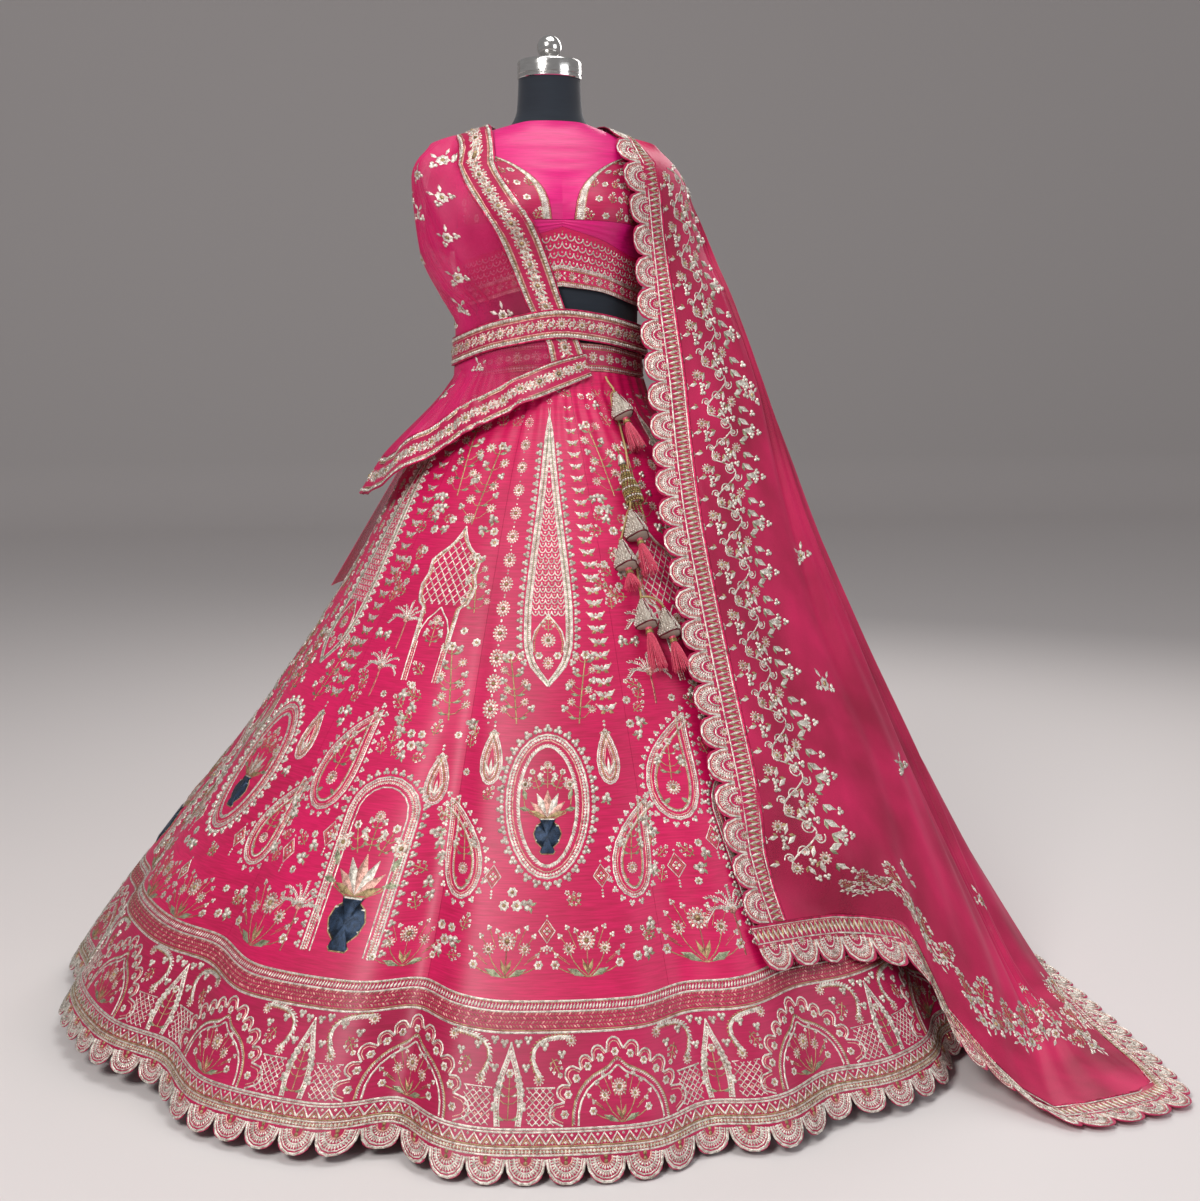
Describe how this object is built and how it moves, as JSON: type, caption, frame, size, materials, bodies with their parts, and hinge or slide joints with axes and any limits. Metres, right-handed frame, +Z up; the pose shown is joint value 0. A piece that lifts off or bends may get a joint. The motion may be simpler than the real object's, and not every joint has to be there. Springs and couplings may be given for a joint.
{
  "type": "lehenga choli on a dress form",
  "caption": "Flared embroidered lehenga skirt, fitted choli, belt and draped net dupattas on a limbless dress form with a round stand.",
  "frame": {"origin": "on the floor, at the middle of the underside of the dress form's stand disc", "axes": "+Z up, the garment's front faces -Y, +X is the wearer's left"},
  "size_m": [1.5952, 1.5025, 1.5058],
  "materials": {
    "raw_silk": "slubby raw silk, satin",
    "embroidered_silk": "silk covered with raised metal-thread embroidery",
    "form_cloth": "tight matte jersey",
    "chrome": "polished",
    "dupatta_net": "sheer net",
    "silver_sequin": "cloth covered with sequins",
    "tassel_silk": "silk floss",
    "cord_silk": "twisted cord, satin"
  },
  "bodies": {
    "root": {"belt": "embroidered_silk", "choli_back_left": "raw_silk", "choli_back_right": "raw_silk", "choli_cup_left": "embroidered_silk", "choli_cup_right": "embroidered_silk", "choli_lower_front": "embroidered_silk", "choli_sleeve_left": "embroidered_silk", "choli_sleeve_right": "embroidered_silk", "choli_underbust_band": "raw_silk", "choli_yoke_front": "raw_silk", "dupatta_a_back": "dupatta_net", "dupatta_a_border_end": "embroidered_silk", "dupatta_a_border_side": "embroidered_silk", "dupatta_a_net": "dupatta_net", "dupatta_b_back": "dupatta_net", "dupatta_b_border_end": "embroidered_silk", "dupatta_b_border_side": "embroidered_silk", "dupatta_b_net": "dupatta_net", "form_finial": "chrome", "form_neck_cap": "chrome", "form_stand": "chrome", "form_torso": "form_cloth", "latkan_cone_1": "silver_sequin", "latkan_cone_2": "silver_sequin", "latkan_cone_3": "silver_sequin", "latkan_cone_4": "silver_sequin", "latkan_cone_5": "silver_sequin", "latkan_drawstring": "cord_silk", "latkan_tassel_1": "tassel_silk", "latkan_tassel_2": "tassel_silk", "latkan_tassel_3": "tassel_silk", "latkan_tassel_4": "tassel_silk", "latkan_tassel_5": "tassel_silk", "lehenga_border_1": "embroidered_silk", "lehenga_border_2": "embroidered_silk", "lehenga_border_3": "embroidered_silk", "lehenga_border_4": "embroidered_silk", "lehenga_border_5": "embroidered_silk", "lehenga_border_6": "embroidered_silk", "lehenga_kali_01": "raw_silk", "lehenga_kali_02": "raw_silk", "lehenga_kali_03": "raw_silk", "lehenga_kali_04": "raw_silk", "lehenga_kali_05": "raw_silk", "lehenga_kali_06": "raw_silk", "lehenga_kali_07": "raw_silk", "lehenga_kali_08": "raw_silk", "lehenga_kali_09": "raw_silk", "lehenga_kali_10": "raw_silk", "lehenga_kali_11": "raw_silk", "lehenga_kali_12": "raw_silk", "lehenga_waistband": "embroidered_silk"}
  },
  "joints": []
}
